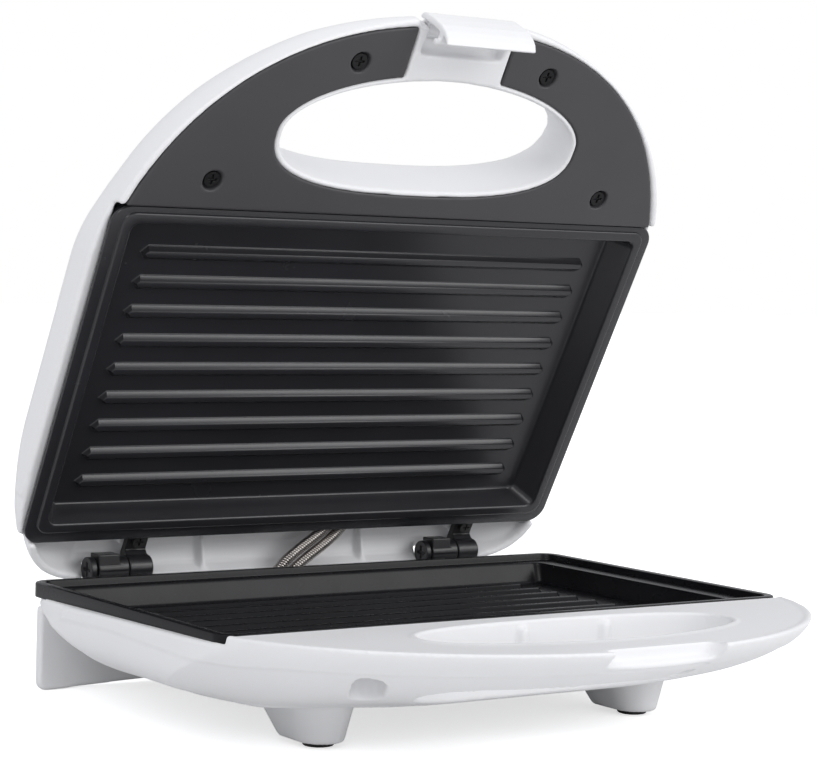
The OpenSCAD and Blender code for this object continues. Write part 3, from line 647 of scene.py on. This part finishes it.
for node in ("hinge_bracket_left", "hinge_bracket_right"):
    grow(node + "_casting", [node], BASE, "base", "hinge_black", 0.24, 4, (), 12.0, reach=0.25)
for node in ("hinge_arm_left", "hinge_arm_right"):
    grow(node + "_casting", [node], LID, "lid", "hinge_black", 0.24, 4, (), 12.0, reach=0.25)
grow("hinge_pin_set", ["hinge_pins"], BASE, "base", "hinge_black", 0.2, 4, (), 8.0, reach=0.2)
grow("bracket_screw_set", ["bracket_screws"], BASE, "base", "zinc_screw", 0.16, 4, (), 4.0, reach=0.16)
heads = grow("panel_screw_set", ["panel_screws"], LID, "lid", "hinge_black", 0.16, 5, (), 4.0, reach=0.16,
             carve=small_heads)
heads.data.materials[0] = plastic(
    "black_oxide", (0.006, 0.006, 0.007), (0.012, 0.012, 0.013), (0.3, 0.4), 1800, 6e-6, shine=0.2
)
grow("foot_pad_set", ["foot_pads"], BASE, "base", "foot_rubber", 0.3, 6, (), 40.0, reach=0.3)
grow("inlet_bush", ["cord_inlet"], BASE, "base", "black_plastic", 0.25, 5, (), 15.0, reach=0.25)
grow("power_lamp_lens", ["power_lens"], LID, "lid", "red_lens", 0.2, 12, (), 60.0, reach=0.2)
grow("ready_lamp_lens", ["ready_lens"], LID, "lid", "green_lens", 0.2, 12, (), 60.0, reach=0.2)


# ---------------------------------------------------------------- wire conduits: a wound spring over a core
WIRES = {
    "conduit_left": [(-27, -2, -15.4), (-24, 1.5, -15.2), (-20.5, 5.5, -13.6), (-17, 8.6, -10.8), (-13.4, 10.6, -7),
                     (-9.4, 11.7, -2.9), (-5, 12.5, 1), (0, 13.2, 4.2), (5, 14, 7), (9.6, 14.8, 9.5), (14, 16, 12),
                     (17.8, 17.6, 14.2), (21, 19.5, 16), (23.2, 21.2, 16.9), (25, 23, 17.5)],
    "conduit_right": [(-21.3, -1.7, -16.8), (-18.4, 1.8, -16.2), (-15, 5.6, -14.8), (-11.8, 8.8, -12.6),
                      (-8.7, 10.9, -9.7), (-5, 12, -5.8), (-0.5, 12.8, -2), (4.5, 13.5, 1.2), (9.5, 14.3, 4),
                      (14.1, 15.1, 6.5), (18.5, 16.3, 9), (22.3, 17.9, 11.2), (25.5, 19.8, 13), (27.7, 21.5, 13.9),
                      (29.5, 23.3, 14.5)],
}


def across(line):
    """Two directions square to a dense line, at each of its points."""
    along = np.gradient(line, axis=0)
    along /= np.linalg.norm(along, axis=1)[:, None]
    side = np.cross(along, (0, 1, 0.001))
    side /= np.linalg.norm(side, axis=1)[:, None]
    return side, np.cross(along, side)


def tube(line, radius, sides):
    """A closed round tube along dense points."""
    side, other = across(line)
    turn = (2 * np.pi * np.arange(sides) / sides)[None, :, None]
    co = line[:, None] + radius * (np.cos(turn) * side[:, None] + np.sin(turn) * other[:, None])
    faces = bands(len(line), sides)
    faces += [tuple(range(sides))[::-1], tuple((len(line) - 1) * sides + k for k in range(sides))]
    return co.reshape(-1, 3).tolist(), faces


def route(points, count):
    """Evenly spaced points on a smooth curve through the route, and the curve's length."""
    points = np.asarray(points, float)
    ends = np.concatenate([[2 * points[0] - points[1]], points, [2 * points[-1] - points[-2]]])
    dense = []
    for i in range(1, len(ends) - 2):
        for t in np.arange(20) / 20:
            a, b, c, d = ends[i - 1 : i + 3]
            bend, twist = 2 * a - 5 * b + 4 * c - d, 3 * b - a - 3 * c + d
            dense.append(0.5 * (2 * b + (c - a) * t + bend * t**2 + twist * t**3))
    dense = np.array(dense + [points[-1]])
    far = np.concatenate([[0], np.cumsum(np.linalg.norm(np.diff(dense, axis=0), axis=1))])
    at = np.linspace(0, far[-1], count)
    return np.stack([np.interp(at, far, dense[:, k]) for k in range(3)], 1), far[-1]


def conduit(node):
    """A spring of round wire along its route, over a core that closes the gaps between its turns."""
    pitch, wire, outer = 1.05, 0.54, 2.15  # spacing of the turns, and the radii of the wire and the whole conduit
    _, length = route(WIRES[node], 50)
    turns, each = int(length / pitch), 18
    middle, _ = route(WIRES[node], turns * each)
    side, other = across(middle)
    turn = (2 * np.pi * np.arange(len(middle)) / each)[:, None]
    coil = middle + (outer - wire) * (np.cos(turn) * side + np.sin(turn) * other)
    store = ([], [])
    add(store, *tube(coil, wire, 8))
    add(store, *tube(route(WIRES[node], 60)[0], outer - wire * 1.7, 12))
    made = piece(node + "_spring", *store, BASE, None, "bright_steel", [node])
    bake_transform(made)


for node in WIRES:
    conduit(node)


# ---------------------------------------------------------------- CAD nodes that keep their shape
for node, thing in frame["nodes"].items():
    slot = SLOT_OF.get(node)
    if slot in LOOKS:
        thing.data.materials.clear()
        thing.data.materials.append(LOOKS[slot])


# ---------------------------------------------------------------- floor, backdrop and light
FLOOR_GLOW, ROOM_LIGHT = 0.62, 0.68


def stage():
    """A white floor that the camera sees as white."""
    mesh = bpy.data.meshes.new("floor")
    mesh.from_pydata([(-6, -6, 0), (6, -6, 0), (6, 6, 0), (-6, 6, 0)], [], [(0, 1, 2, 3)])
    floor = bpy.data.objects.new("floor", mesh)
    bpy.context.scene.collection.objects.link(floor)
    made, tree, shade = shader("floor_white")
    tree.links.new(ramp(tree, noise(tree, 3, 2), [(0.2, 0.86), (0.8, 0.88)]), shade.inputs["Base Color"])
    shade.inputs["Roughness"].default_value = 0.9
    shade.inputs["Specular IOR Level"].default_value = 0.1
    seen = tree.nodes.new("ShaderNodeLightPath")
    glow = tree.nodes.new("ShaderNodeMath")
    glow.operation = "MULTIPLY"
    glow.inputs[1].default_value = FLOOR_GLOW
    tree.links.new(seen.outputs["Is Camera Ray"], glow.inputs[0])
    shade.inputs["Emission Color"].default_value = (1, 1, 1, 1)
    tree.links.new(glow.outputs[0], shade.inputs["Emission Strength"])
    mesh.materials.append(made)


def world():
    """A soft white room, seen by the camera as pure white."""
    made = bpy.data.worlds.new("studio")
    bpy.context.scene.world = made
    made.use_nodes = True
    tree = made.node_tree
    tree.nodes.clear()
    out = tree.nodes.new("ShaderNodeOutputWorld")
    white, room = tree.nodes.new("ShaderNodeBackground"), tree.nodes.new("ShaderNodeBackground")
    pick = tree.nodes.new("ShaderNodeMixShader")
    white.inputs["Color"].default_value = (1, 1, 1, 1)
    room.inputs["Color"].default_value = (0.96, 0.97, 1, 1)
    room.inputs["Strength"].default_value = ROOM_LIGHT
    path = tree.nodes.new("ShaderNodeLightPath")
    tree.links.new(path.outputs["Is Camera Ray"], pick.inputs["Fac"])
    tree.links.new(room.outputs[0], pick.inputs[1])
    tree.links.new(white.outputs[0], pick.inputs[2])
    tree.links.new(pick.outputs[0], out.inputs["Surface"])


def lamp(name, place, aim, size, watts, shape="RECTANGLE"):
    """An area light at a place in metres, turned to what it lights."""
    data = bpy.data.lights.new(name, "AREA")
    data.shape = shape
    data.size, data.size_y = size
    data.energy = watts
    made = bpy.data.objects.new(name, data)
    made.location = place
    made.rotation_euler = (Vector(aim) - Vector(place)).to_track_quat("-Z", "Y").to_euler()
    bpy.context.scene.collection.objects.link(made)


stage()
world()
lamp("key", (-1.5, -1.0, 1.6), (0, 0, 0.1), (1.2, 1.2), 12.5)
lamp("top", (0.2, 0.2, 1.8), (0, 0, 0.1), (1.6, 1.2), 1.5)
lamp("low", (0.9, -2.8, 0.3), (0, 0, 0.05), (2.4, 0.4), 8, shape="ELLIPSE")
lamp("strip", (1.75, -2.5, 1.55), (0, 0, 0.12), (3.0, 1.2), 34, shape="ELLIPSE")
bpy.context.scene.view_settings.view_transform = "Standard"
